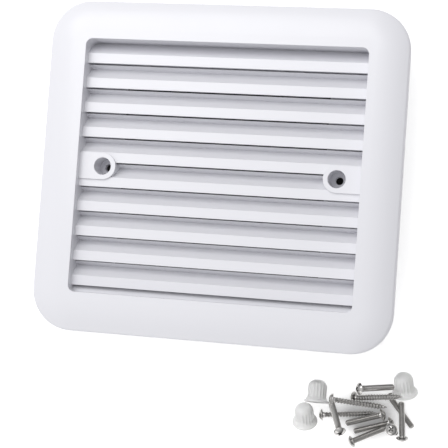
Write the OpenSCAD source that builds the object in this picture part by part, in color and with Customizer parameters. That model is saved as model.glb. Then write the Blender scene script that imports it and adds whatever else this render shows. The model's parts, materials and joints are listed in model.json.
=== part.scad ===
// Louvred vent cover for a caravan or motorhome wall, with its 12 V fan and loose fixing kit.
// Millimetres. +Z points out of the vehicle, +Y towards the cover's top edge, +X to the right.
// The origin is the centre of the cover on the wall plane, between its two screw holes.

/* [Bezel] */
// Overall width of the bezel
bezel_w = 215; // [205:1:240]
// Overall height of the bezel
bezel_h = 198.5; // [190:0.5:220]
// Height of the bezel's land above the wall
rim_z = 24; // [23:0.5:28]
// Outer corner radius
corner_r = 24.5; // [20:0.5:30]
// Distance from the wall plane to the widest line of the edge
edge_z = 18; // [16:0.5:19]
// Radius of the rounded outer edge
edge_r = 2.5; // [2:0.1:3]
// Draft angle of the side below its widest line
edge_draft = 3.75; // [0:3.75:7.5]
// Wall thickness of the moulding
shell_t = 2.2; // [1.8:0.1:2.6]

/* [Recess and louvre] */
// Width of the recess
recess_w = 168.5; // [164:0.5:172]
// Height of the recess
recess_h = 151.5; // [148:0.5:154]
// Corner radius of the recess
recess_r = 4; // [2:0.5:6]
// Width of the flat land round the recess
land_w = 5; // [4:0.5:7]
// Number of slats
slat_count = 10; // [6:1:10]
// Distance from one slat to the next
slat_pitch = 14.85; // [14.5:0.05:15]
// Height of the first slat's lower edge
first_slat_y = 61.9; // [61:0.1:62.5]
// Height of a slat's flat front face
slat_face_h = 5.9; // [5:0.1:6.5]
// Depth of the slat faces below the land
slat_drop = 6.5; // [5:0.1:8]
// Depth of the groove behind a slat's face
groove_d = 9.5; // [8:0.5:10]
// Wall thickness of a slat
slat_t = 1.7; // [1.4:0.1:2]

/* [Screw bosses] */
// Distance between the two wall screws
screw_spacing = 140; // [136:0.5:142]
// Diameter of a boss
boss_d = 16; // [14:0.5:18]
// Depth of the boss faces below the land
boss_drop = 5.2; // [4:0.1:6]
// Diameter of the recess for the screw's head
seat_d = 10.4; // [9:0.1:11]
// Diameter of the wall screw's hole
screw_hole_d = 4.6; // [4.2:0.1:5]

/* [Fan] */
// Width of the square fan frame
fan_w = 120; // [119:0.5:120]
// Depth of the fan frame
fan_d = 25; // [25:0.5:32]
// Distance between the fan's corner holes
fan_hole_spacing = 105; // [104.8:0.1:105.2]
// Diameter of the air passage through the fan
fan_bore_d = 116; // [112:0.5:117]
// Number of blades
blade_count = 7; // [5:1:9]
// Diameter across the blade tips
impeller_d = 113; // [108:0.5:114]
// Diameter of the impeller's hub
hub_d = 38; // [34:0.5:40]
// Diameter of the motor shaft
shaft_d = 3; // [2.5:0.1:3]

/* [Fixing kit] */
// Length of a fan screw or wall screw under its head
screw_len = 32; // [28:1:35]
// Length of a loose machine screw under its head
machine_len = 22; // [16:1:28]
// Diameter of a screw's thread
screw_d = 3.9; // [3.5:0.1:4.2]
// Diameter of a screw's head
head_d = 7.4; // [6.8:0.1:8]
// Height of a screw's head
head_h = 2.4; // [2:0.1:3]
// Height of a wire cap
cap_h = 13.6; // [12:0.1:18]
// Diameter of a wire cap's body
cap_d = 10.4; // [9:0.1:12]
// Diameter of a wire cap's skirt
cap_skirt_d = 15; // [13:0.1:16]

/* [Hidden] */
$fn = 96;
eps = 0.01;

// Levels above the wall plane
gasket_t = 2;
gasket_w = 3.8;
plate_t = 2;
collar_t = 2;
collar_h = 4;
plate_top_z = gasket_t + plate_t;
screen_t = 0.5;
fan_top_z = plate_top_z;
fan_back_z = fan_top_z - fan_d;
floor_z = fan_back_z - head_h;
slat_z = rim_z - slat_drop;
boss_z = rim_z - boss_drop;
groove_z = slat_z - groove_d;
screen_top_z = plate_top_z + screen_t;

// Bezel section: a large arc falls from the land and meets the small edge arc smoothly
border_w = (bezel_w - recess_w) / 2;
slope_w = border_w - land_w;
edge_drop = rim_z - edge_z;
fall_r = fall_radius(slope_w, edge_drop, edge_r);
function fall_radius(w, drop, r) =
    let (run = w - r, fall = drop)
    (run * run + fall * fall - r * r) / (2 * (fall - r));
meet_s = edge_r + (edge_r - slope_w) * edge_r / (fall_r - edge_r);

// Plate under the louvre, and what holds it
plate_w = 200;
plate_h = 183.5;
plate_r = 18;
post_d = 7;
post_x = 93.2;
post_y = 84.9;
post_top_z = rim_z - 1.2;
post_pilot_d = 2.4;
plate_hole_d = 3.2;
plate_screw_d = 2.9;
plate_screw_head_d = 5.4;
plate_screw_low_z = 0.2;
plate_screw_thread_z = 10;
spigot_d = 12;
spigot_gap = 0.3;
plate_screw_spots = [
    for (sx = [-1, 1]) for (y = [-54, 0, 54]) [sx * post_x, y],
    for (sy = [-1, 1]) [0, sy * post_y]
];
fan_gap = 0.3;
fan_post_d = 8;
fan_post_z = slat_z - 6;
fan_pilot_d = 3.4;
screen_w = fan_w + 3;
screen_hole_d = 4.6;

// Fan interior
fan_mid = fan_hole_spacing / 2;
fan_hole_d = 4.3;
flange_t = 3.6;
fan_corner_r = 4;
duct_d = fan_w - 0.2;
lead_notch_w = 5;
lead_notch_d = 2.2;
strut_w = 4;
strut_t = 2.8;
motor_base_d = 36;
tube_d = 8;
tube_bore_d = 6;
base_z = fan_back_z + 0.6;
base_top_z = base_z + 2.4;
hub_top_z = -0.6;
hub_wall = 1.6;
blade_low_z = fan_back_z + 5.2;
blade_top_z = hub_top_z;
cup_d = hub_d - 2 * hub_wall;
cup_t = 1;
magnet_out_d = cup_d - 2 * cup_t;
magnet_in_d = magnet_out_d - 5;
magnet_h = 9;
cup_top_z = hub_top_z - hub_wall;
tube_top_z = cup_top_z - cup_t - 1.2;
magnet_top_z = cup_top_z - cup_t - 1.6;
core_d = magnet_in_d - 1.2;
core_ring_t = 1.7;
core_h = 6;
core_mid_z = magnet_top_z - magnet_h / 2;
board_z = base_top_z + 0.6;
board_t = 1.2;
bearing_h = 4;
shaft_low_z = base_z + 0.9;
shaft_top_z = hub_top_z - 0.4;

module rounded_rect(w, h, r) {
    union() {
        square([w - 2 * r, h], center = true);
        square([w, h - 2 * r], center = true);
        for (sx = [-1, 1]) for (sy = [-1, 1])
            translate([sx * (w / 2 - r), sy * (h / 2 - r)]) circle(r);
    }
}

module rounded_plate(w, h, r, z0, z1) {
    translate([0, 0, z0]) linear_extrude(z1 - z0) rounded_rect(w, h, r);
}

// Half section of the bezel. X runs inward from the outer face, Y is the height.
// An inset draws the same section with its faces moved inward by that much.
module bezel_section(inset) {
    low = inset > 0 ? -1 : 0;
    reach = corner_r;
    fall_z = rim_z - fall_r;
    small_r = max(edge_r - inset, 0.3);
    big_r = fall_r - inset;
    side_x = edge_r - small_r * cos(edge_draft);
    side_z = edge_z - small_r * sin(edge_draft);
    union() {
        translate([slope_w - eps, low]) square([reach - slope_w + eps, rim_z - inset - low]);
        intersection() {
            translate([slope_w, fall_z]) circle(big_r, $fn = 360);
            translate([max(meet_s, inset), low]) square([slope_w - max(meet_s, inset), rim_z - low]);
        }
        translate([edge_r, edge_z]) circle(small_r);
        polygon([[side_x, side_z], [side_x + (side_z - low) * tan(edge_draft), low],
                 [reach, low], [reach, side_z]]);
    }
}

// The bezel's outer form, a shallow cushion shape with rounded corners
module cushion(inset) {
    straight_x = bezel_w - 2 * corner_r;
    straight_y = bezel_h - 2 * corner_r;
    low = inset > 0 ? -1 : 0;
    translate([0, 0, low + (rim_z - inset - low) / 2])
        cube([straight_x + 2 * eps, straight_y + 2 * eps, rim_z - inset - low], center = true);
    for (side = [-1, 1]) {
        rotate([90, 0, side > 0 ? 180 : 0]) translate([-bezel_w / 2, 0, -straight_y / 2])
            linear_extrude(straight_y) bezel_section(inset);
        rotate([90, 0, side > 0 ? 90 : 270]) translate([-bezel_h / 2, 0, -straight_x / 2])
            linear_extrude(straight_x) bezel_section(inset);
    }
    for (turn = [0:3]) {
        sx = (turn == 0 || turn == 3) ? 1 : -1;
        sy = turn < 2 ? 1 : -1;
        translate([sx * straight_x / 2, sy * straight_y / 2, 0])
            rotate([0, 0, 90 * turn]) rotate_extrude(angle = 90)
                translate([corner_r, 0]) mirror([1, 0]) bezel_section(inset);
    }
}

// Slat section: X is height above the slat's lower edge, Y is height above the wall.
// The slope falls from the face to the groove, and a back wall rises to the air slot.
slope_rise = 6.35;
lip_t = 1.9;
lip_in = 0.77;
slot_w = 0.6;
back_z = slat_z - 5;
back_top_w = 0.3;
back_foot = 1.35;
rear_z = groove_z - slat_t;
rear_w = 2.1;
function slat_outline() = [
    [0, slat_z - lip_t], [0, slat_z], [slat_face_h, slat_z],
    [slat_face_h + slope_rise, groove_z],
    [slat_pitch - slot_w, back_z], [slat_pitch - slot_w + back_top_w, back_z - 0.1],
    [slat_pitch - back_foot, rear_z], [slat_pitch - back_foot - rear_w, rear_z],
    [slat_face_h - lip_in, slat_z - lip_t]
];

module slat(y0) {
    translate([-recess_w / 2 - 1, y0, 0]) rotate([90, 0, 90])
        linear_extrude(recess_w + 2) polygon(slat_outline());
}

module top_slat(y0) {
    rise = recess_h / 2 + 1 - y0;
    drop = (rise - slat_face_h) * groove_d / slope_rise;
    translate([-recess_w / 2 - 1, y0, 0]) rotate([90, 0, 90]) linear_extrude(recess_w + 2)
        polygon([[0, slat_z - lip_t], [0, slat_z], [slat_face_h, slat_z], [rise, slat_z - drop],
                 [rise, slat_z - drop - 3], [slat_face_h - lip_in, slat_z - lip_t]]);
}

// Ledge that rises from the last air slot to the recess's lower wall
ledge_drop = 3.8;
module bottom_ledge() {
    top_z = slat_z - ledge_drop;
    top_y = first_slat_y - (slat_count - 1) * slat_pitch - slot_w;
    wall_y = -recess_h / 2 - 1;
    translate([-recess_w / 2 - 1, 0, 0]) rotate([90, 0, 90]) linear_extrude(recess_w + 2)
        polygon([[wall_y, slat_z], [top_y, top_z], [top_y + back_top_w, top_z - 0.1],
                 [top_y + slot_w - back_foot, rear_z], [wall_y, rear_z]]);
}

module louvre() {
    intersection() {
        union() {
            top_slat(first_slat_y);
            for (i = [1:slat_count - 1]) slat(first_slat_y - i * slat_pitch);
            bottom_ledge();
        }
        rounded_plate(recess_w + 2, recess_h + 2, recess_r + 1, plate_top_z, rim_z);
    }
}

// D-shaped block between a screw hole and the recess's side wall
module boss_body(side) {
    x = side * screw_spacing / 2;
    reach = recess_w / 2 + 1 - screw_spacing / 2;
    translate([x, 0, plate_top_z]) cylinder(d = boss_d, h = boss_z - plate_top_z);
    translate([side > 0 ? x : x - reach, -boss_d / 2, plate_top_z])
        cube([reach, boss_d, boss_z - plate_top_z]);
    translate([x, 0, 0]) cylinder(d = spigot_d, h = plate_top_z + 1);
}

module louvre_grille() {
    color([0.95, 0.95, 0.96]) difference() {
        union() {
            difference() {
                cushion(0);
                difference() {
                    cushion(shell_t);
                    rounded_plate(recess_w + 2 * shell_t, recess_h + 2 * shell_t,
                                  recess_r + shell_t, plate_top_z, rim_z);
                }
                rounded_plate(recess_w, recess_h, recess_r, -2, rim_z + 1);
            }
            louvre();
            for (side = [-1, 1]) boss_body(side);
            for (p = plate_screw_spots)
                translate([p[0], p[1], 0]) cylinder_to(post_d, plate_top_z, post_top_z);
            for (sx = [-1, 1]) for (sy = [-1, 1])
                translate([sx * fan_mid, sy * fan_mid, 0])
                    cylinder_to(fan_post_d, screen_top_z, fan_post_z);
        }
        for (sx = [-1, 1]) translate([sx * screw_spacing / 2, 0, 0]) {
            translate([0, 0, -1]) cylinder(d = screw_hole_d, h = rim_z);
            translate([0, 0, plate_top_z]) cylinder(d = seat_d, h = rim_z);
        }
        for (p = plate_screw_spots)
            translate([p[0], p[1], 0])
                cylinder_to(post_pilot_d, plate_top_z - 1, plate_screw_thread_z + 4);
        for (sx = [-1, 1]) for (sy = [-1, 1])
            translate([sx * fan_mid, sy * fan_mid, 0]) cylinder_to(fan_pilot_d, 0, fan_post_z + 1);
    }
}

module blanking_plate() {
    opening = fan_w + 2 * fan_gap;
    color([0.93, 0.93, 0.94]) difference() {
        union() {
            rounded_plate(plate_w, plate_h, plate_r, gasket_t, plate_top_z);
            rounded_plate(opening + 2 * collar_t, opening + 2 * collar_t, 3,
                          gasket_t - collar_h, gasket_t + eps);
        }
        cube([opening, opening, 4 * collar_h], center = true);
        for (p = plate_screw_spots)
            translate([p[0], p[1], 0]) cylinder_to(plate_hole_d, 0, plate_top_z + 1);
        for (sx = [-1, 1]) translate([sx * screw_spacing / 2, 0, 0])
            cylinder_to(spigot_d + 2 * spigot_gap, 0, plate_top_z + 1);
    }
}

// Fine mesh panel clamped between the fan, the plate and the grille's fan posts
module insect_screen() {
    color([0.25, 0.26, 0.27]) difference() {
        rounded_plate(screen_w, screen_w, 3, plate_top_z, screen_top_z);
        for (sx = [-1, 1]) for (sy = [-1, 1])
            translate([sx * fan_mid, sy * fan_mid, 0]) cylinder_to(screen_hole_d, 0, screen_top_z + 1);
    }
}

module seal_gasket() {
    color([0.2, 0.2, 0.21]) difference() {
        rounded_plate(plate_w, plate_h, plate_r, 0, gasket_t);
        rounded_plate(plate_w - 2 * gasket_w, plate_h - 2 * gasket_w, plate_r - gasket_w,
                      -1, gasket_t + 1);
    }
}

module plate_screws() {
    color([0.7, 0.7, 0.72]) for (p = plate_screw_spots) translate([p[0], p[1], 0]) {
        difference() {
            cylinder_to(plate_screw_head_d, plate_screw_low_z, gasket_t);
            cross_recess(plate_screw_low_z, 3, 1.1);
        }
        cylinder_to(plate_screw_d, gasket_t - eps, plate_screw_thread_z);
        translate([0, 0, plate_screw_thread_z - eps]) cylinder(d1 = plate_screw_d, d2 = 0.6, h = 1.6);
    }
}

module cylinder_to(d, z0, z1) {
    translate([0, 0, z0]) cylinder(d = d, h = z1 - z0);
}

module ring(od, id, z0, z1) {
    difference() {
        cylinder_to(od, z0, z1);
        cylinder_to(id, z0 - 1, z1 + 1);
    }
}

// Cross-shaped driver recess cut upward from z
module cross_recess(z, span, depth) {
    for (a = [0, 90]) rotate([0, 0, a])
        translate([-span / 2, -0.45, z - 1]) cube([span, 0.9, depth + 1]);
}

module fan_frame() {
    color([0.09, 0.09, 0.1]) difference() {
        union() {
            difference() {
                union() {
                    rounded_plate(fan_w, fan_w, fan_corner_r, fan_back_z, fan_back_z + flange_t);
                    rounded_plate(fan_w, fan_w, fan_corner_r, fan_top_z - flange_t, fan_top_z);
                    cylinder_to(duct_d, fan_back_z, fan_top_z);
                }
                cylinder_to(fan_bore_d, fan_back_z - 1, fan_top_z + 1);
            }
            intersection() {
                for (turn = [0:3]) rotate([0, 0, 30 + 90 * turn])
                    translate([0, -strut_w / 2, base_z]) cube([fan_w / 2, strut_w, strut_t]);
                cylinder_to(duct_d, fan_back_z, fan_top_z);
            }
            cylinder_to(motor_base_d, base_z, base_top_z);
            cylinder_to(tube_d + 3, base_z, board_z);
            cylinder_to(tube_d, base_z, tube_top_z);
        }
        cylinder_to(tube_bore_d, base_z + 0.5, fan_top_z);
        for (sx = [-1, 1]) for (sy = [-1, 1])
            translate([sx * fan_mid, sy * fan_mid, 0])
                cylinder_to(fan_hole_d, fan_back_z - 1, fan_top_z + 1);
        translate([fan_mid * 0.72, -fan_w / 2 - 1, fan_back_z - 1])
            cube([lead_notch_w, lead_notch_d + 1, flange_t + 2]);
    }
}

// Screw with its head's underside at zero and its tip upward
module pan_screw(pointed, length) {
    dome_r = (head_d * head_d / 4 + head_h * head_h) / (2 * head_h) + 0.5;
    tip = pointed ? 5 : 1;
    tip_d = pointed ? 0.5 : screw_d - 1.2;
    difference() {
        union() {
            intersection() {
                translate([0, 0, dome_r - head_h]) sphere(dome_r);
                cylinder_to(head_d, -head_h, 0);
            }
            cylinder_to(screw_d, -eps, length - tip);
            translate([0, 0, length - tip]) cylinder(d1 = screw_d, d2 = tip_d, h = tip);
        }
        cross_recess(-head_h, 4.2, 1.3);
    }
}

module fan_screws() {
    color([0.72, 0.72, 0.74]) for (sx = [-1, 1]) for (sy = [-1, 1])
        translate([sx * fan_mid, sy * fan_mid, fan_back_z]) pan_screw(false, screw_len);
}

// Cambered blade: a slice of a tube whose axis is radial
blade_span = 15;
blade_arc_r = 24;
blade_t = 1.3;
module blade() {
    rise = blade_top_z - blade_low_z;
    chord = norm([blade_span, rise]);
    lift = sqrt(blade_arc_r * blade_arc_r - chord * chord / 4);
    centre = [rise * lift / chord, (blade_top_z + blade_low_z) / 2 - blade_span * lift / chord];
    rotate([90, 0, 90]) linear_extrude(impeller_d / 2) intersection() {
        translate(centre) difference() {
            circle(blade_arc_r + blade_t / 2);
            circle(blade_arc_r - blade_t / 2);
        }
        translate([-blade_span / 2, blade_low_z]) square([blade_span, rise]);
    }
}

module impeller() {
    color([0.1, 0.1, 0.11]) union() {
        difference() {
            cylinder_to(hub_d, board_z + board_t + 0.8, hub_top_z);
            cylinder_to(cup_d, fan_back_z, hub_top_z - hub_wall);
            cylinder_to(shaft_d, fan_back_z, shaft_top_z);
        }
        ring(7, shaft_d, cup_top_z - cup_t - 0.4, cup_top_z + eps);
        intersection() {
            for (i = [0:blade_count - 1]) rotate([0, 0, 360 * i / blade_count]) blade();
            ring(impeller_d, hub_d - 1, fan_back_z, fan_top_z);
        }
    }
}

module rotor_cup() {
    color([0.6, 0.61, 0.63]) difference() {
        cylinder_to(cup_d, magnet_top_z - magnet_h - 0.5, cup_top_z);
        cylinder_to(magnet_out_d, fan_back_z, cup_top_z - cup_t);
        cylinder_to(7.2, fan_back_z, fan_top_z);
    }
}

module ring_magnet() {
    color([0.2, 0.2, 0.21]) ring(magnet_out_d, magnet_in_d, magnet_top_z - magnet_h, magnet_top_z);
}

clip_z = shaft_low_z + 0.5;
module fan_shaft() {
    color([0.75, 0.76, 0.78]) union() {
        cylinder_to(shaft_d, shaft_low_z, clip_z);
        cylinder_to(shaft_d - 0.8, clip_z - eps, clip_z + 0.6 + eps);
        cylinder_to(shaft_d, clip_z + 0.6, shaft_top_z);
    }
}

module shaft_clip() {
    color([0.65, 0.65, 0.67]) difference() {
        ring(4.8, shaft_d - 0.8, clip_z + 0.1, clip_z + 0.5);
        translate([0, -0.8, fan_back_z]) cube([4, 1.6, 10]);
    }
}

bearing_id = shaft_d + 0.08;
module front_bearing() {
    color([0.72, 0.55, 0.3]) ring(tube_bore_d, bearing_id, tube_top_z - bearing_h, tube_top_z);
}

module rear_bearing() {
    color([0.72, 0.55, 0.3]) ring(tube_bore_d, bearing_id, clip_z + 0.8, clip_z + 0.8 + bearing_h);
}

arm_w = 4.4;
sleeve_t = 0.8;
module stator_core() {
    z0 = core_mid_z - core_h / 2;
    color([0.5, 0.5, 0.52]) difference() {
        union() {
            difference() {
                cylinder_to(core_d, z0, z0 + core_h);
                cylinder_to(core_d - 2 * core_ring_t, z0 - 1, z0 + core_h + 1);
                for (a = [45, 135]) rotate([0, 0, a])
                    translate([-core_d, -2.4, z0 - 1]) cube([2 * core_d, 4.8, core_h + 2]);
            }
            for (a = [0, 90]) rotate([0, 0, a])
                translate([-core_d / 2 + 1, -arm_w / 2, z0]) cube([core_d - 2, arm_w, core_h]);
            cylinder_to(12, z0, z0 + core_h);
        }
        cylinder_to(tube_d, z0 - 1, z0 + core_h + 1);
    }
}

// Block round each stator arm, as wide and as tall as the arm plus a margin
module arm_blocks(r0, r1, margin_w, margin_h) {
    for (turn = [0:3]) rotate([0, 0, 90 * turn])
        translate([r0, -arm_w / 2 - margin_w, core_mid_z - core_h / 2 - margin_h])
            cube([r1 - r0, arm_w + 2 * margin_w, core_h + 2 * margin_h]);
}

module stator_insulator() {
    z0 = core_mid_z - core_h / 2;
    color([0.9, 0.9, 0.86]) difference() {
        union() {
            arm_blocks(5, 11, sleeve_t, sleeve_t);
            cylinder_to(13.4, z0 - sleeve_t, z0 + core_h + sleeve_t);
        }
        arm_blocks(0, 20, 0, 0);
        cylinder_to(12, z0, z0 + core_h);
        cylinder_to(tube_d, z0 - 2, z0 + core_h + 2);
    }
}

module stator_coils() {
    color([0.72, 0.38, 0.2]) difference() {
        arm_blocks(7.2, 10.3, sleeve_t + 2, sleeve_t + 1.4);
        arm_blocks(0, 20, sleeve_t, sleeve_t);
    }
}

module circuit_board() {
    color([0.1, 0.35, 0.2]) ring(32, tube_d, board_z, board_z + board_t);
}

module driver_chip() {
    color([0.12, 0.12, 0.13]) rotate([0, 0, 45])
        translate([11, -2, board_z + board_t]) cube([3, 4, 1]);
}

// Loose kit. Each row is the x, y and height of the head's underside above the surface,
// the compass heading of the tip and the angle by which the tip dips.
self_tapping_places = [
    [66.7, -138.3, 3.71, 7, 3],
    [84.9, -126.3, 3.87, 8, -24],
    [73, -127.9, 12.53, -4, 10],
];
machine_places = [
    [105.6, -124.2, 3.79, -50, 5],
    [101.5, -134.8, 6.09, 199, 4],
    [106.3, -139.3, 3.71, 199, 4],
    [85.2, -152.2, 3.71, 28, -9],
    [114.2, -147.2, 3.83, 94, -14],
    [88.6, -120.2, 12.82, 6, 32],
    [78.5, -145.6, 16.13, 116, 39],
    [108.9, -141.2, 21.92, -80, 80],
];
cap_places = [
    [56.6, -143.3, 5.77, 92, -40],
    [62.8, -131, 7.61, 90, 8],
    [114.4, -121, 7.27, 98, -30],
];

module laid(place) {
    translate([place[0], place[1], floor_z + place[2]]) rotate([0, 90 + place[4], place[3]]) children();
}

module self_tapping_screws() {
    color([0.72, 0.72, 0.74]) for (p = self_tapping_places) laid(p) pan_screw(true, screw_len);
}

module machine_screws() {
    color([0.68, 0.68, 0.7]) for (p = machine_places) laid(p) pan_screw(false, machine_len);
}

cap_bore_d = 7.6;
module wire_cap() {
    dome_r = cap_d / 2;
    difference() {
        union() {
            cylinder_to(cap_skirt_d, 0, 1.2);
            translate([0, 0, 1.2]) cylinder(d1 = cap_skirt_d - 0.6, d2 = cap_d, h = 2.6);
            cylinder_to(cap_d, 0, cap_h - dome_r * 0.6);
            translate([0, 0, cap_h - dome_r * 0.6]) intersection() {
                translate([0, 0, -dome_r * 1.11]) sphere(dome_r * 1.71 - 0.002);
                cylinder_to(cap_d, -1, dome_r);
            }
            for (i = [0:17]) rotate([0, 0, 20 * i])
                translate([cap_d / 2 - 0.3, -0.4, 3]) cube([0.75, 0.8, cap_h - dome_r * 0.6 - 3.4]);
        }
        cylinder_to(cap_bore_d, 1.2, cap_h - 3.2);
        translate([0, 0, -1]) cylinder(d1 = cap_skirt_d, d2 = cap_bore_d, h = 3);
    }
}

module wire_caps() {
    color([0.92, 0.94, 0.93]) for (p = cap_places) laid(p) wire_cap();
}

module crimp_sleeves() {
    color([0.8, 0.8, 0.8]) for (p = cap_places) laid(p) ring(cap_bore_d, cap_bore_d - 1.2, 4, cap_h - 4);
}

louvre_grille();
blanking_plate();
insect_screen();
seal_gasket();
plate_screws();
fan_frame();
fan_screws();
impeller();
rotor_cup();
ring_magnet();
fan_shaft();
shaft_clip();
front_bearing();
rear_bearing();
stator_core();
stator_insulator();
stator_coils();
circuit_board();
driver_chip();
self_tapping_screws();
machine_screws();
wire_caps();
crimp_sleeves();
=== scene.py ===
"""Looks for a louvred vent cover, its fan and its loose fixing kit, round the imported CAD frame."""

import json
import math

import bmesh
import bpy
from mathutils import Matrix, Vector


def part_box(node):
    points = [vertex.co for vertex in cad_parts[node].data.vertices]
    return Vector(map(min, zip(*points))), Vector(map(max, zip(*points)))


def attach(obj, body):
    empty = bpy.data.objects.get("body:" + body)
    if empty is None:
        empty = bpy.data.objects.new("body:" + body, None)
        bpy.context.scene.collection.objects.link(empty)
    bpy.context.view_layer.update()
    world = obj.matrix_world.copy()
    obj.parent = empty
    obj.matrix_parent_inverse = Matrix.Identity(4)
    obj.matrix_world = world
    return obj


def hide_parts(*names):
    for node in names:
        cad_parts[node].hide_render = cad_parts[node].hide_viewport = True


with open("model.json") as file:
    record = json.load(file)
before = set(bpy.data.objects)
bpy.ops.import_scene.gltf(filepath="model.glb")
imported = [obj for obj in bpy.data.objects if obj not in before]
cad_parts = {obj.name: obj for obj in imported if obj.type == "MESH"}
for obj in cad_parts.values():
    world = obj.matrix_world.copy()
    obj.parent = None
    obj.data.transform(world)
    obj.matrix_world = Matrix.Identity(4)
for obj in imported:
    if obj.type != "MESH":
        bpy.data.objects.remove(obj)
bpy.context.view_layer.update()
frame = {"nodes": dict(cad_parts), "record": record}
NODES = frame["nodes"]
MM = 0.001

# ---------------------------------------------------------------- camera

SENSOR_WIDTH, LENS = 36.0, 114.14    # mm
SHIFT_X, SHIFT_Y = 0.1307, -0.0434
CAMERA_AT = Vector((0.1671, -0.0574, 0.8318))
CAMERA_FORWARD = Vector((-0.2350, 0.0439, -0.9710)).normalized()
CAMERA_RIGHT = Vector((0.9701, 0.0728, -0.2315))
CAMERA_RIGHT = (CAMERA_RIGHT - CAMERA_RIGHT.dot(CAMERA_FORWARD) * CAMERA_FORWARD).normalized()
CAMERA_UP = CAMERA_RIGHT.cross(CAMERA_FORWARD)

camera_data = bpy.data.cameras.new("camera")
camera_data.sensor_width = SENSOR_WIDTH
camera_data.lens = LENS
camera_data.shift_x = SHIFT_X
camera_data.shift_y = SHIFT_Y
camera = bpy.data.objects.new("camera", camera_data)
bpy.context.scene.collection.objects.link(camera)
bpy.context.scene.camera = camera
turn = Matrix((CAMERA_RIGHT, CAMERA_UP, -CAMERA_FORWARD)).transposed().to_4x4()
camera.matrix_world = Matrix.Translation(CAMERA_AT) @ turn


# ---------------------------------------------------------------- materials


class Look:
    """One node-based material. Positions come from the object's own coordinates, in metres."""

    def __init__(self, name):
        self.material = bpy.data.materials.new(name)
        self.material.use_nodes = True
        self.tree = self.material.node_tree
        self.shader = self.tree.nodes["Principled BSDF"]
        self.place = self.add("ShaderNodeTexCoord").outputs["Object"]

    def add(self, kind, **values):
        node = self.tree.nodes.new(kind)
        for key, value in values.items():
            setattr(node, key, value)
        return node

    def link(self, source, target):
        self.tree.links.new(source, target)

    def noise(self, scale, detail=3.0, roughness=0.55, stretch=(1, 1, 1)):
        mapping = self.add("ShaderNodeMapping")
        mapping.inputs["Scale"].default_value = stretch
        self.link(self.place, mapping.inputs["Vector"])
        node = self.add("ShaderNodeTexNoise")
        node.inputs["Scale"].default_value = scale
        node.inputs["Detail"].default_value = detail
        node.inputs["Roughness"].default_value = roughness
        self.link(mapping.outputs["Vector"], node.inputs["Vector"])
        return node.outputs["Fac"]

    def spread(self, source, low, high, source_low=0.3, source_high=0.7):
        node = self.add("ShaderNodeMapRange")
        node.inputs["From Min"].default_value = source_low
        node.inputs["From Max"].default_value = source_high
        node.inputs["To Min"].default_value = low
        node.inputs["To Max"].default_value = high
        self.link(source, node.inputs["Value"])
        return node.outputs["Result"]

    def mix(self, factor, first, second):
        node = self.add("ShaderNodeMix", data_type="RGBA")
        self.link(factor, node.inputs["Factor"])
        for socket, value in ((node.inputs["A"], first), (node.inputs["B"], second)):
            if isinstance(value, tuple):
                socket.default_value = (*value, 1.0)
            else:
                self.link(value, socket)
        return node.outputs["Result"]

    def colour(self, first, second, scale=40.0, detail=4.0):
        fac = self.spread(self.noise(scale, detail), 0.0, 1.0)
        self.link(self.mix(fac, first, second), self.shader.inputs["Base Color"])
        return self

    def rough(self, low, high, scale=300.0):
        self.link(self.spread(self.noise(scale), low, high), self.shader.inputs["Roughness"])
        return self

    def bump(self, heights, strength, distance, soft_edge=0.0):
        node = self.add("ShaderNodeBump")
        node.inputs["Strength"].default_value = strength
        node.inputs["Distance"].default_value = distance
        self.link(heights, node.inputs["Height"])
        if soft_edge:
            edge = self.add("ShaderNodeBevel", samples=8)
            edge.inputs["Radius"].default_value = soft_edge
            self.link(edge.outputs["Normal"], node.inputs["Normal"])
        self.link(node.outputs["Normal"], self.shader.inputs["Normal"])
        return self

    def set(self, **values):
        for key, value in values.items():
            self.shader.inputs[key.replace("_", " ")].default_value = value
        return self


THREAD_CURVE = (0.46, 0.52)     # pointiness of a thread's root and of its crest
# painted shade: the near-black colour laid into thread roots and the driver recess
SCREW_ROOT_PAINTED_SHADE = (0.10, 0.097, 0.093)
SCREW_DULL, SCREW_BRIGHT = (0.50, 0.49, 0.475), (0.57, 0.56, 0.545)
ACROSS_Z = (1, 1, 14)           # squeezes noise along Z, so that its marks lie across Z


def gloss_abs():
    look = Look("gloss_white_abs")
    look.colour((0.794, 0.794, 0.829), (0.786, 0.786, 0.821), scale=14.0, detail=1.0)
    look.rough(0.28, 0.34, scale=60.0)
    look.bump(look.noise(420.0, 2.0), 0.03, 0.0002, soft_edge=0.45 * MM)
    look.set(Coat_Weight=0.10, Coat_Roughness=0.12)
    return look.material


def plate_abs():
    look = Look("matte_white_abs")
    look.colour((0.74, 0.74, 0.765), (0.70, 0.70, 0.73), scale=30.0)
    look.rough(0.42, 0.58, scale=400.0)
    look.bump(look.noise(1800.0, 3.0), 0.12, 0.0002, soft_edge=0.3 * MM)
    return look.material


def moulded(name, first, second, rough_low, rough_high, grain=1400.0, soft_edge=0.3 * MM):
    """Moulded plastic with a fine spark-eroded grain."""
    look = Look(name)
    look.colour(first, second, scale=60.0)
    look.rough(rough_low, rough_high, scale=500.0)
    look.bump(look.noise(grain, 4.0), 0.18, 0.00015, soft_edge=soft_edge)
    return look.material


def metal(name, first, second, rough_low, rough_high, scratch=ACROSS_Z, grain=900.0, depth=0.10):
    """Metal with fine directional marks."""
    look = Look(name)
    look.colour(first, second, scale=260.0)
    look.rough(rough_low, rough_high, scale=700.0)
    look.bump(look.noise(grain, 5.0, stretch=scratch), depth, 0.0001, soft_edge=0.15 * MM)
    look.set(Metallic=1.0)
    return look.material


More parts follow.
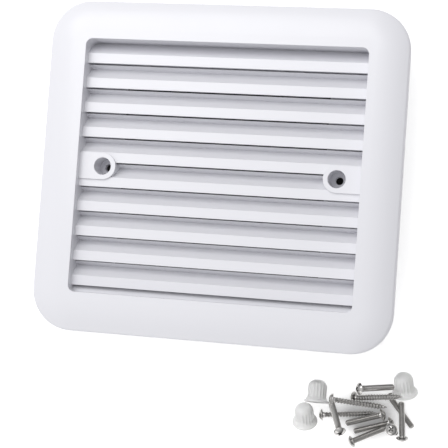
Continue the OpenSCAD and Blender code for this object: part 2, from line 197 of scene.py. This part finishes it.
def screw_steel():
    """Bright plated steel that is dull in the roots of its threads and in its recess, where painted
    shade darkens its colour by the mesh's pointiness.
    """
    look = Look("bright_screw_steel")
    pointiness = look.add("ShaderNodeNewGeometry").outputs["Pointiness"]
    crest = look.spread(pointiness, 0.0, 1.0, *THREAD_CURVE)
    plating = look.mix(look.spread(look.noise(260.0, 4.0), 0.0, 1.0), SCREW_DULL, SCREW_BRIGHT)
    # painted shade: where the pointiness is low, in thread roots and the recess, the colour turns
    # near black
    look.link(look.mix(crest, SCREW_ROOT_PAINTED_SHADE, plating), look.shader.inputs["Base Color"])
    look.link(look.spread(crest, 0.38, 0.16, 0.0, 1.0), look.shader.inputs["Roughness"])
    look.bump(look.noise(900.0, 5.0, stretch=ACROSS_Z), 0.03, 0.0001)
    look.set(Metallic=1.0)
    return look.material


def laminated():
    look = Look("laminated_core_steel")
    wave = look.add("ShaderNodeTexWave", wave_type="BANDS", bands_direction="Z")
    wave.inputs["Scale"].default_value = 640.0
    wave.inputs["Distortion"].default_value = 0.4
    look.link(look.place, wave.inputs["Vector"])
    stripes = wave.outputs["Fac"]
    look.link(look.mix(stripes, (0.16, 0.165, 0.18), (0.42, 0.43, 0.45)),
              look.shader.inputs["Base Color"])
    look.rough(0.35, 0.5, scale=500.0)
    look.bump(stripes, 0.5, 0.0001)
    look.set(Metallic=1.0)
    return look.material


def foam():
    look = Look("closed_cell_foam")
    look.colour((0.035, 0.035, 0.040), (0.060, 0.060, 0.065), scale=900.0)
    look.rough(0.8, 0.95, scale=600.0)
    cells = look.add("ShaderNodeTexVoronoi", feature="DISTANCE_TO_EDGE")
    cells.inputs["Scale"].default_value = 1600.0
    look.link(look.place, cells.inputs["Vector"])
    look.bump(cells.outputs["Distance"], 0.6, 0.0003)
    return look.material


def nylon():
    look = Look("translucent_nylon")
    look.colour((0.94, 0.95, 0.90), (0.98, 0.98, 0.94), scale=160.0)
    look.rough(0.28, 0.42, scale=500.0)
    look.bump(look.noise(900.0, 3.0), 0.10, 0.0001)
    look.set(Transmission_Weight=0.18, Subsurface_Weight=0.8, IOR=1.5)
    look.shader.inputs["Subsurface Radius"].default_value = (0.006, 0.0062, 0.006)
    return look.material


def solder_mask():
    look = Look("green_circuit_board")
    rings = look.add("ShaderNodeTexWave", wave_type="RINGS", rings_direction="Z")
    rings.inputs["Scale"].default_value = 190.0
    rings.inputs["Distortion"].default_value = 3.0
    look.link(look.place, rings.inputs["Vector"])
    tracks = look.spread(rings.outputs["Fac"], 0.0, 1.0, 0.45, 0.55)
    look.link(look.mix(tracks, (0.010, 0.085, 0.040), (0.020, 0.150, 0.070)),
              look.shader.inputs["Base Color"])
    look.rough(0.25, 0.4, scale=400.0)
    look.bump(tracks, 0.25, 0.0001)
    return look.material


BLACK = ((0.012, 0.012, 0.013), (0.020, 0.020, 0.022))
LOOKS = {
    "white_abs": gloss_abs(),
    "plate_abs": plate_abs(),
    "fan_black": moulded("black_fan_plastic", *BLACK, 0.38, 0.52),
    "chip": moulded("moulded_epoxy", *BLACK, 0.55, 0.7, soft_edge=0.1 * MM),
    "bobbin": moulded("cream_bobbin_plastic", (0.70, 0.68, 0.58), (0.64, 0.62, 0.53), 0.4, 0.55),
    "magnet": moulded("bonded_ferrite", (0.035, 0.032, 0.032), (0.055, 0.050, 0.048), 0.6, 0.8),
    "screen_mesh": moulded("coated_mesh_wire", (0.030, 0.030, 0.033), (0.045, 0.045, 0.048),
                           0.45, 0.6, soft_edge=0.0),
    "zinc_steel": screw_steel(),
    "rotor_steel": metal("drawn_rotor_steel", (0.40, 0.41, 0.43), (0.48, 0.49, 0.51), 0.3, 0.42),
    "shaft_steel": metal("ground_shaft_steel", (0.62, 0.63, 0.65), (0.70, 0.71, 0.73), 0.12, 0.2),
    "bronze": metal("sintered_bronze", (0.46, 0.30, 0.13), (0.56, 0.38, 0.18), 0.4, 0.55,
                    scratch=(1, 1, 1), grain=2200.0),
    "core_steel": laminated(),
    "copper": metal("enamelled_copper", (0.50, 0.17, 0.06), (0.60, 0.23, 0.09), 0.22, 0.32),
    "tinned": metal("tinned_sleeve", (0.62, 0.62, 0.62), (0.70, 0.70, 0.69), 0.22, 0.34),
    "foam": foam(),
    "nylon": nylon(),
    "board": solder_mask(),
}
SLOT_OF = {row["node"]: row["material_slot"] for row in frame["record"]["subparts"]}
for node_name, node_object in NODES.items():
    node_object.data.materials.clear()
    node_object.data.materials.append(LOOKS[SLOT_OF[node_name]])


# ---------------------------------------------------------------- mesh helpers


def finish_mesh(mesh, sharp_angle=40.0):
    mesh.validate()
    mesh.shade_smooth()
    mesh.set_sharp_from_angle(angle=math.radians(sharp_angle))
    return mesh


def place_piece(name, mesh, node, body):
    """Adds a piece that stands for a CAD node and takes that node's finish."""
    piece = bpy.data.objects.new(name, mesh)
    bpy.context.scene.collection.objects.link(piece)
    mesh.materials.append(LOOKS[SLOT_OF[node]])
    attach(piece, body)
    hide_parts(node)
    return piece


def ring_faces(rows, closed_rows=False):
    """Quads between rows of vertex numbers. Each row is a closed ring."""
    faces = []
    pairs = list(zip(rows, rows[1:]))
    if closed_rows:
        pairs.append((rows[-1], rows[0]))
    for low, high in pairs:
        n = len(low)
        faces += [(low[i], low[(i + 1) % n], high[(i + 1) % n], high[i]) for i in range(n)]
    return faces


def lathe(profile, sides):
    """Mesh data for a turned form. Each profile row gives (radius, height) from the angle."""
    verts, rows = [], []
    for row in profile:
        rows.append(list(range(len(verts), len(verts) + sides)))
        for i in range(sides):
            angle = 2 * math.pi * i / sides
            radius, height = row(angle)
            verts.append((radius * math.cos(angle), radius * math.sin(angle), height))
    faces = ring_faces(rows)
    faces.append(tuple(reversed(rows[0])))
    faces.append(tuple(rows[-1]))
    return verts, faces


def steady(radius, height):
    return lambda angle: (radius, height)


def sweep(path, section, closed):
    """Mesh data for a section carried along a path. The section is (across, up) pairs."""
    verts, rows = [], []
    count = len(path)
    for i, point in enumerate(path):
        ahead = path[(i + 1) % count] if closed or i + 1 < count else point
        behind = path[i - 1] if closed or i > 0 else point
        along = (ahead - behind).normalized()
        across = along.cross(Vector((0, 0, 1))).normalized()
        up = across.cross(along)
        rows.append(list(range(len(verts), len(verts) + len(section))))
        verts += [tuple(point + across * a + up * u) for a, u in section]
    faces = ring_faces(rows, closed_rows=closed)
    if not closed:
        faces.append(tuple(reversed(rows[0])))
        faces.append(tuple(rows[-1]))
    return verts, faces


def round_section(radius, sides):
    return [(radius * math.cos(2 * math.pi * i / sides), radius * math.sin(2 * math.pi * i / sides))
            for i in range(sides)]


def rounded_rectangle(width, height, radius, step):
    """Points in the XY plane, anticlockwise round a rectangle with rounded corners."""
    points = []
    turns = max(4, math.ceil(radius * math.pi / 2 / step))
    for corner in range(4):
        start = corner * math.pi / 2
        sx = 1 if corner in (0, 3) else -1
        sy = 1 if corner in (0, 1) else -1
        centre = Vector((sx * (width / 2 - radius), sy * (height / 2 - radius), 0))
        for i in range(turns + 1):
            angle = start + math.pi / 2 * i / turns
            points.append(centre + radius * Vector((math.cos(angle), math.sin(angle), 0)))
        begin = points[-1]
        run = (height if corner in (1, 3) else width) - 2 * radius
        way_x, way_y = [(-1, 0), (0, -1), (1, 0), (0, 1)][corner]
        parts = max(1, math.ceil(run / step))
        for i in range(1, parts):
            points.append(Vector((begin.x + way_x * run * i / parts,
                                  begin.y + way_y * run * i / parts, 0)))
    return points


class Gather:
    """Collects mesh data from several parts into one mesh."""

    def __init__(self):
        self.verts, self.faces = [], []

    def add(self, data, where=None):
        verts, faces = data
        base = len(self.verts)
        where = where or Matrix.Identity(4)
        self.verts += [tuple(where @ Vector(v)) for v in verts]
        self.faces += [tuple(base + i for i in face) for face in faces]

    def mesh(self, name, sharp_angle=40.0):
        mesh = bpy.data.meshes.new(name)
        mesh.from_pydata(self.verts, [], self.faces)
        return finish_mesh(mesh, sharp_angle)


AXIS_STEPS = 60         # steps of the power iteration, far more than a long solid needs
WIDE_SHARE = 0.97       # points this near the greatest radius are on the widest part


def axes_of(node):
    """For each solid of a node that is round about an axis, with its widest part at one end:
    a matrix whose Z runs from the wide end to the other, at the wide part's inner plane."""
    bm = bmesh.new()
    bm.from_mesh(NODES[node].data)
    bmesh.ops.remove_doubles(bm, verts=bm.verts, dist=1e-6)
    left, found = set(bm.verts), []
    while left:
        queue, island = [left.pop()], []
        while queue:
            vert = queue.pop()
            island.append(vert.co.copy())
            for edge in vert.link_edges:
                other = edge.other_vert(vert)
                if other in left:
                    left.remove(other)
                    queue.append(other)
        found.append(place_of(island))
    bm.free()
    return sorted(found, key=lambda m: tuple(round(v, 5) for v in m.translation))


def place_of(points):
    """One solid's matrix for axes_of, from the longest direction of its points."""
    centre = sum(points, Vector()) / len(points)
    spread = Matrix(((0,) * 3,) * 3)
    for p in points:
        d = p - centre
        for r in range(3):
            for c in range(3):
                spread[r][c] += d[r] * d[c]
    far = max(points, key=lambda p: (p - centre).length)
    axis = (far - centre).normalized()
    for _ in range(AXIS_STEPS):
        axis = (spread @ axis).normalized()
    along = [(p - centre).dot(axis) for p in points]
    radii = [((p - centre) - axis * s).length for p, s in zip(points, along)]
    widest = max(radii)
    wide = [s for s, r in zip(along, radii) if r > WIDE_SHARE * widest]
    if sum(wide) > 0:
        axis, wide = -axis, [-s for s in wide]
    side = axis.orthogonal().normalized()
    turned = Matrix((side, axis.cross(side), axis)).transposed().to_4x4()
    return Matrix.Translation(centre + axis * max(wide)) @ turned


# ---------------------------------------------------------------- screws

HEAD_D, HEAD_H, SHANK_D = 7.4 * MM, 2.4 * MM, 3.9 * MM
SCREW_SIDES = 28
HEAD_RIM = 0.35 * MM        # radius of the head's rounded rim
RIM_START = 0.90            # where the rim leaves the crown, as a share of the dome's height
HEAD_CHAMFER = 0.25 * MM    # under the head
DOME_STEPS, RIM_STEPS = 9, 3
CUT_ABOVE = 0.4 * MM        # how far the cutter stands above the crown
RECESS_SPAN, RECESS_WIDTH = 0.45, 0.6   # how the recess narrows to its floor
ROWS_PER_PITCH = 8
PLAIN_NECK = 0.8 * MM       # unthreaded length under the head
RIDGE_HALF = 0.36           # half of a ridge's foot, as a share of the pitch
NECK_FILL = 0.6             # the neck's radius, as a share of the way from core to crest


def head_rows(head_d, head_h, dome_share):
    """Rows of a pan head from its crown to its underside, with a rounded rim."""
    rows = []
    radius = head_d / 2
    dome = head_h * dome_share
    crown_r = (radius * radius + dome * dome) / (2 * dome)
    for i in range(1, DOME_STEPS + 1):
        r = (radius - HEAD_RIM) * i / DOME_STEPS
        z = -head_h + crown_r - math.sqrt(crown_r * crown_r - r * r)
        rows.append(steady(r, z))
    for i in range(1, RIM_STEPS + 1):
        angle = math.pi / 2 * i / RIM_STEPS
        z = -head_h + dome * RIM_START + HEAD_RIM * (1 - math.cos(angle))
        rows.append(steady(radius - HEAD_RIM + HEAD_RIM * math.sin(angle), z))
    rows.append(steady(radius, -HEAD_RIM * 0.6))
    rows.append(steady(radius - HEAD_CHAMFER, 0.0))
    return rows


def thread_rows(length, outer, core, pitch, tip_len, tip_r):
    """Rows of a threaded shank from under the head to the tip."""
    rows = []
    count = math.ceil(length / pitch * ROWS_PER_PITCH)
    for i in range(count + 1):
        z = length * i / count
        taper = min(1.0, (length - z) / tip_len)
        fade = min(1.0, max(0.0, (z - PLAIN_NECK) / pitch))

        def row(angle, z=z, taper=taper, fade=fade):
            share = (z / pitch - angle / (2 * math.pi)) % 1.0
            ridge = max(0.0, 1.0 - abs(share - 0.5) / RIDGE_HALF)
            base = tip_r + (core - tip_r) * taper
            neck = (outer - core) * NECK_FILL * (1.0 - fade)
            return base + neck + (outer - core) * ridge * fade * min(1.0, taper * 1.6), z

        rows.append(row)
    return rows


def cross_cutter(span, width, depth, top_z):
    """A tapered cross that cuts the driver recess."""
    bm = bmesh.new()
    for turned in (False, True):
        corners = []
        for z, share in ((top_z - CUT_ABOVE, 1.0), (top_z + depth, RECESS_SPAN)):
            a, b = span / 2 * share, width / 2 * (RECESS_WIDTH + (1 - RECESS_WIDTH) * share)
            for sa, sb in ((-1, -1), (1, -1), (1, 1), (-1, 1)):
                x, y = (-sb * b, sa * a) if turned else (sa * a, sb * b)
                corners.append(bm.verts.new((x, y, z)))
        low, high = corners[:4], corners[4:]
        bm.faces.new(reversed(low))
        bm.faces.new(high)
        for i in range(4):
            bm.faces.new((low[i], low[(i + 1) % 4], high[(i + 1) % 4], high[i]))
    mesh = bpy.data.meshes.new("cutter")
    bm.to_mesh(mesh)
    bm.free()
    return mesh


def with_recess(data, cutter_mesh):
    """The turned form with the cutter taken away from it, as mesh data."""
    mesh = bpy.data.meshes.new("blank")
    mesh.from_pydata(data[0], [], data[1])
    mesh.validate()
    blank = bpy.data.objects.new("blank", mesh)
    cutter = bpy.data.objects.new("cutter", cutter_mesh)
    for o in (blank, cutter):
        bpy.context.scene.collection.objects.link(o)
    cut = blank.modifiers.new("cut", "BOOLEAN")
    cut.operation = "DIFFERENCE"
    cut.solver = "EXACT"
    cut.use_self = True
    cut.object = cutter
    bpy.context.view_layer.update()
    depsgraph = bpy.context.evaluated_depsgraph_get()
    done = bpy.data.meshes.new_from_object(blank.evaluated_get(depsgraph))
    made = [tuple(v.co) for v in done.vertices], [tuple(p.vertices) for p in done.polygons]
    for o in (blank, cutter):
        bpy.data.objects.remove(o)
    return made


def screw(length, pitch, core, tip_len, tip_r, head_d=HEAD_D, head_h=HEAD_H, outer=SHANK_D,
          dome_share=0.8, recess=(4.3, 0.95, 1.5)):
    """A screw's mesh data. The recess is its span, width and depth in mm."""
    span, width, depth = (v * MM for v in recess)
    rows = head_rows(head_d, head_h, dome_share)
    rows += thread_rows(length, outer / 2, core / 2, pitch, tip_len, tip_r)
    data = lathe(rows, SCREW_SIDES)
    return with_recess(data, cross_cutter(span, width, depth, -head_h))


def screw_set(name, node, body, data):
    parts = Gather()
    for place in axes_of(node):
        parts.add(data, place)
    return place_piece(name, parts.mesh(name), node, body)


TAPPING = screw(32 * MM, 1.8 * MM, 2.5 * MM, 5.0 * MM, 0.15 * MM)
BLUNT = (0.8 * MM, 3.2 * MM, 0.8 * MM, 1.1 * MM)    # pitch, core, tip's length and tip's radius
LOOSE_MACHINE = screw(22 * MM, *BLUNT)
FAN_MACHINE = screw(32 * MM, *BLUNT)
PLATE = screw(9.6 * MM, 1.1 * MM, 2.1 * MM, 1.8 * MM, 0.15 * MM, head_d=5.4 * MM, head_h=1.8 * MM,
              outer=2.9 * MM, dome_share=0.25, recess=(3.2, 0.75, 1.0))
screw_set("self_tapping_screw_set", "self_tapping_screws", "fixing_kit", TAPPING)
screw_set("machine_screw_set", "machine_screws", "fixing_kit", LOOSE_MACHINE)
screw_set("fan_screw_set", "fan_screws", "cover", FAN_MACHINE)
screw_set("plate_screw_set", "plate_screws", "cover", PLATE)

# ---------------------------------------------------------------- wire caps

CAP_SKIRT, CAP_BODY, CAP_BORE, CAP_HEIGHT = 7.5 * MM, 5.2 * MM, 3.8 * MM, 13.6 * MM
CAP_RIM = 1.2 * MM          # the skirt's inner plane, from the open end
CAP_TOP = 3.2 * MM          # solid top above the bore
RIBS, RIB_HEIGHT = 18, 0.42 * MM
CAP_SIDES = RIBS * 8
FLARE_STEPS, WALL_STEPS, DOME_ROWS, FUNNEL_STEPS = 6, 8, 8, 5
FLARE_END = 4.2 * MM


def wire_cap():
    """A ribbed closed-end cap with an open flared skirt at z = 0, in mesh data."""
    skirt, body, bore, height = CAP_SKIRT, CAP_BODY, CAP_BORE, CAP_HEIGHT
    shoulder = height - body * 0.75

    def ribbed(radius, z, share):
        def row(angle):
            ridge = max(0.0, math.cos(RIBS * angle)) ** 0.6
            return radius + RIB_HEIGHT * ridge * share, z
        return row

    rows = [steady(skirt - 0.55 * MM, 0.0), steady(skirt - 0.2 * MM, 0.02 * MM),
            steady(skirt, 0.25 * MM), steady(skirt, 0.95 * MM), steady(skirt - 0.2 * MM, CAP_RIM)]
    for i in range(FLARE_STEPS + 1):
        share = i / FLARE_STEPS
        flare = (1 - share) ** 1.8
        radius = body + (skirt - 0.5 * MM - body) * flare
        rows.append(ribbed(radius, (1.3 + 2.9 * share) * MM, share))
    for i in range(1, WALL_STEPS + 1):
        rows.append(ribbed(body, FLARE_END + (shoulder - FLARE_END) * i / WALL_STEPS, 1.0))
    for i in range(1, DOME_ROWS):
        angle = math.pi / 2 * i / DOME_ROWS
        share = max(0.0, 1 - i / 3)
        rows.append(ribbed(body * math.cos(angle) ** 0.8,
                           shoulder + (height - shoulder) * math.sin(angle), share))
    outer_verts, outer_faces = lathe(rows, CAP_SIDES)
    inner = [steady(skirt - 0.55 * MM, 0.0), steady(skirt - 0.9 * MM, 0.5 * MM)]
    for i in range(1, FUNNEL_STEPS + 1):
        share = i / FUNNEL_STEPS
        inner.append(steady(skirt - 0.9 * MM + (bore - skirt + 0.9 * MM) * share ** 0.6,
                            (0.5 + 2.6 * share) * MM))
    top = height - CAP_TOP
    inner += [steady(bore, 0.3 * top), steady(bore, 0.6 * top), steady(bore, top - 1.2 * MM),
              steady(bore * 0.86, top - 0.5 * MM), steady(bore * 0.5, top - 0.05 * MM),
              steady(bore * 0.2, top)]
    inner_verts, inner_faces = lathe(inner, CAP_SIDES)
    n = CAP_SIDES
    base = len(outer_verts) - n  # both first rings are the same, so the inner one is left out

    def shifted(i):
        return i if i < n else base + i

    faces = [f for f in outer_faces if tuple(f) != tuple(reversed(range(n)))]
    faces += [tuple(shifted(i) for i in reversed(f)) for f in inner_faces
              if tuple(f) != tuple(reversed(range(n)))]
    return outer_verts + inner_verts[n:], faces


parts = Gather()
for place in axes_of("wire_caps"):
    parts.add(wire_cap(), place @ Matrix.Translation((0, 0, -CAP_RIM)))
place_piece("ribbed_wire_caps", parts.mesh("ribbed_wire_caps", 60.0), "wire_caps", "fixing_kit")

# ---------------------------------------------------------------- insect screen

SCREW_AT = 52.5 * MM        # the fan screws' places, along X and along Y
SCREW_GAP = 2.5 * MM        # radius that the wires leave free round each fan screw
SCREEN_WIRE = 0.115 * MM    # radius
SCREEN_BORDER = 2.6 * MM
WIRES = 62                  # each way


def screen_mesh():
    """Woven wires, each a small tube that goes over and under the others, in a pressed hem."""
    low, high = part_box("insect_screen")
    middle = (low.z + high.z) / 2
    half = high.x - SCREEN_BORDER * 0.5
    pitch = 2 * half / (WIRES - 1)
    section = round_section(SCREEN_WIRE, 5)
    parts = Gather()
    for lengthwise in (True, False):
        for i in range(1, WIRES - 1):
            across = -half + i * pitch
            runs = [[]]
            for j in range(2 * WIRES - 1):
                along = -half + j * pitch / 2
                nearest = math.hypot(abs(along) - SCREW_AT, abs(across) - SCREW_AT)
                if nearest < SCREW_GAP:
                    if runs[-1]:
                        runs.append([])
                    continue
                lift = 0.0
                if j % 2 == 0:
                    over = (i + j // 2) % 2 == 0
                    lift = SCREEN_WIRE if over == lengthwise else -SCREEN_WIRE
                x, y = (along, across) if lengthwise else (across, along)
                runs[-1].append(Vector((x, y, middle + lift)))
            for run in runs:
                if len(run) > 2:
                    parts.add(sweep(run, section, closed=False))
    w = SCREEN_BORDER / 2
    t = (high.z - low.z) / 2
    hem = [(-w, -t * 0.6), (-w * 0.9, -t), (w * 0.9, -t), (w, -t * 0.6),
           (w, t * 0.6), (w * 0.9, t), (-w * 0.9, t), (-w, t * 0.6)]
    loop = rounded_rectangle(2 * high.x - SCREEN_BORDER, 2 * high.y - SCREEN_BORDER,
                             2.2 * MM, 3 * MM)
    parts.add(sweep([p + Vector((0, 0, middle)) for p in loop], hem, closed=True))
    return parts.mesh("insect_screen_weave", 60.0)


place_piece("insect_screen_weave", screen_mesh(), "insect_screen", "cover")

# ---------------------------------------------------------------- foam gasket

GASKET_WIDTH = 3.8 * MM
GASKET_CORNER = 18 * MM     # outer radius
GASKET_SIDES = 16
SQUARENESS = 0.35           # 1 would make the strip's section an ellipse
RIPPLE = 0.05 * MM          # as a share of the distance from the cover's centre


def gasket_mesh():
    """A strip of foam with a soft square section and slightly uneven sides."""
    low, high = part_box("seal_gasket")
    width = GASKET_WIDTH
    tall = high.z - low.z
    path = rounded_rectangle(2 * high.x - width, 2 * high.y - width, GASKET_CORNER - width / 2,
                             1.4 * MM)
    path = [p + Vector((0, 0, (low.z + high.z) / 2)) for p in path]
    section = []
    for i in range(GASKET_SIDES):
        angle = 2 * math.pi * i / GASKET_SIDES
        c, s = math.cos(angle), math.sin(angle)
        section.append((width / 2 * math.copysign(abs(c) ** SQUARENESS, c),
                        tall / 2 * math.copysign(abs(s) ** SQUARENESS, s)))
    data = sweep(path, section, closed=True)
    verts = []
    for x, y, z in data[0]:
        ripple = RIPPLE * math.sin(x * 1500) * math.sin(y * 1300 + z * 900)
        verts.append((x * (1 + ripple), y * (1 + ripple), z))
    parts = Gather()
    parts.add((verts, data[1]))
    return parts.mesh("foam_gasket_strip", 70.0)


place_piece("foam_gasket_strip", gasket_mesh(), "seal_gasket", "cover")

# ---------------------------------------------------------------- stator windings

COIL_INNER, COIL_OUTER = 7.2 * MM, 10.3 * MM    # from the shaft's axis
COIL_HALF_WIDTH = 5.0 * MM
COIL_WIRE = 0.2 * MM        # radius
COIL_TURNS, COIL_LAYERS, ARMS = 8, 3, 4


def windings_mesh():
    """Layers of closed turns round each arm of the core, each in the grooves of the last."""
    low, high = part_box("stator_coils")
    middle = (low.z + high.z) / 2
    tall, wide = (high.z - low.z) / 2, COIL_HALF_WIDTH
    inner, outer, wire, turns = COIL_INNER, COIL_OUTER, COIL_WIRE, COIL_TURNS
    parts = Gather()
    for arm in range(ARMS):
        facing = Matrix.Rotation(2 * math.pi / ARMS * arm, 4, "Z")
        for layer in range(COIL_LAYERS):
            shrink = layer * wire * 1.7
            for i in range(turns - layer % 2):
                share = (i + 0.5 + 0.5 * (layer % 2)) / turns
                at = inner + (outer - inner) * share
                loop = rounded_rectangle(2 * (wide - wire - shrink), 2 * (tall - wire - shrink),
                                         1.0 * MM, 2.5 * MM)
                ring, rows, verts = round_section(wire, 6), [], []
                for k, p in enumerate(loop):
                    ahead, behind = loop[(k + 1) % len(loop)], loop[k - 1]
                    along = (ahead - behind).normalized()
                    out = Vector((along.y, -along.x, 0))
                    rows.append(list(range(len(verts), len(verts) + len(ring))))
                    for a, b in ring:
                        q = p + out * a
                        verts.append((at + b, q.x, middle + q.y))
                parts.add((verts, ring_faces(rows, closed_rows=True)), facing)
    return parts.mesh("wound_coils", 60.0)


place_piece("wound_coils", windings_mesh(), "stator_coils", "cover")

# ---------------------------------------------------------------- floor, light and finish

FLOOR_GLOW = 0.62
FLOOR_BOUNCE = 0.25         # share of the glow that diffuse bounces get
FLOOR_REACH = 3.0
# FLOOR_SHADE is the near-black colour of the painted shadow below the cover
FLOOR_PALE, FLOOR_PALER, FLOOR_SHADE = (0.90, 0.90, 0.90), (0.88, 0.88, 0.88), (0.03, 0.03, 0.03)
# how far from the cover's middle the painted shadow below it ends, and where the full glow starts
COVER_SHADE = (("X", 0.080, 0.101), ("Y", 0.074, 0.096))
# painted shade: the oval below the pile of screws where the floor's glow is cut
PILE_SHADE = (("X", 0.0925, 0.0245), ("Y", -0.1365, 0.0165))    # middle and half width
PILE_GLOW, PILE_CORE = 0.12, 0.45
SKY_COLOUR = (0.985, 0.985, 1.0, 1.0)
SKY_FROM = Vector((-0.32, 0.06, 1.0))
# the cosine to SKY_FROM and the sky's strength there, at the dim end and at the bright end
SKY_LOW, SKY_HIGH = (0.10, 0.24), (0.95, 0.92)

FLOOR_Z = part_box("fan_screws")[0].z
floor_mesh = bpy.data.meshes.new("floor")
floor_mesh.from_pydata([(-FLOOR_REACH, -FLOOR_REACH, FLOOR_Z), (FLOOR_REACH, -FLOOR_REACH, FLOOR_Z),
                        (FLOOR_REACH, FLOOR_REACH, FLOOR_Z), (-FLOOR_REACH, FLOOR_REACH, FLOOR_Z)],
                       [], [(0, 1, 2, 3)])
floor = bpy.data.objects.new("floor", floor_mesh)
bpy.context.scene.collection.objects.link(floor)
floor_look = Look("pale_floor")
floor_look.set(Roughness=0.9, Emission_Color=(1, 1, 1, 1))
# the floor glows like a lit table, except below the cover, where a painted shadow cuts its glow
spot = floor_look.add("ShaderNodeSeparateXYZ")
floor_look.link(floor_look.place, spot.inputs["Vector"])
outside = []
for axis, dark, bright in COVER_SHADE:
    size = floor_look.add("ShaderNodeMath", operation="ABSOLUTE")
    floor_look.link(spot.outputs[axis], size.inputs[0])
    outside.append(floor_look.spread(size.outputs["Value"], 0.0, 1.0, dark, bright))
glow = floor_look.add("ShaderNodeMath", operation="MAXIMUM")
for i in range(2):
    floor_look.link(outside[i], glow.inputs[i])
# below the pile of screws its glow is cut, a painted shade on the floor, in which the screws also
# cast real shadows on the floor and each other
heap = [floor_look.spread(spot.outputs[axis], -1.0, 1.0, middle - half, middle + half)
        for axis, middle, half in PILE_SHADE]
ring = floor_look.add("ShaderNodeCombineXYZ")
for i in range(2):
    floor_look.link(heap[i], ring.inputs[i])
away = floor_look.add("ShaderNodeVectorMath", operation="LENGTH")
floor_look.link(ring.outputs["Vector"], away.inputs[0])
lit = floor_look.add("ShaderNodeMath", operation="MULTIPLY")
floor_look.link(glow.outputs["Value"], lit.inputs[0])
floor_look.link(floor_look.spread(away.outputs["Value"], PILE_GLOW, 1.0, PILE_CORE, 1.0),
                lit.inputs[1])
# and it throws only part of its glow back onto the object's sides
bounce = floor_look.spread(floor_look.add("ShaderNodeLightPath").outputs["Is Diffuse Ray"],
                           FLOOR_GLOW, FLOOR_GLOW * FLOOR_BOUNCE, 0.0, 1.0)
strength = floor_look.add("ShaderNodeMath", operation="MULTIPLY")
floor_look.link(lit.outputs["Value"], strength.inputs[0])
floor_look.link(bounce, strength.inputs[1])
floor_look.link(strength.outputs["Value"], floor_look.shader.inputs["Emission Strength"])
paper = floor_look.mix(floor_look.spread(floor_look.noise(3.0), 0.0, 1.0), FLOOR_PALE, FLOOR_PALER)
# painted shadow: below the cover the floor's colour turns near black
floor_look.link(floor_look.mix(glow.outputs["Value"], FLOOR_SHADE, paper),
                floor_look.shader.inputs["Base Color"])
floor_look.material.cycles.emission_sampling = "NONE"
floor_mesh.materials.append(floor_look.material)

world = bpy.data.worlds.new("studio")
bpy.context.scene.world = world
world.use_nodes = True
sky = world.node_tree
background = sky.nodes["Background"]
background.inputs["Color"].default_value = SKY_COLOUR
direction = sky.nodes.new("ShaderNodeTexCoord")
facing = sky.nodes.new("ShaderNodeVectorMath")
facing.operation = "DOT_PRODUCT"
facing.inputs[1].default_value = SKY_FROM.normalized()
ramp = sky.nodes.new("ShaderNodeMapRange")
ramp.inputs["From Min"].default_value = SKY_LOW[0]
ramp.inputs["From Max"].default_value = SKY_HIGH[0]
ramp.inputs["To Min"].default_value = SKY_LOW[1]
ramp.inputs["To Max"].default_value = SKY_HIGH[1]
sky.links.new(direction.outputs["Generated"], facing.inputs[0])
sky.links.new(facing.outputs["Value"], ramp.inputs["Value"])
sky.links.new(ramp.outputs["Result"], background.inputs["Strength"])


def softbox(name, at, size, power, aim=(0, 0, 0)):
    """A rectangular area light in watts, turned towards the cover's middle."""
    data = bpy.data.lights.new(name, "AREA")
    data.shape = "RECTANGLE"
    data.size, data.size_y = size
    data.energy = power
    lamp = bpy.data.objects.new(name, data)
    lamp.location = at
    lamp.rotation_euler = (Vector(aim) - Vector(at)).to_track_quat("-Z", "Y").to_euler()
    bpy.context.scene.collection.objects.link(lamp)


softbox("key_softbox", (-0.16, 0.29, 0.54), (0.50, 0.44), 1.8)
softbox("low_softbox", (-0.20, -0.80, 0.35), (0.70, 0.40), 1.1)

bpy.context.scene.view_settings.view_transform = "Standard"
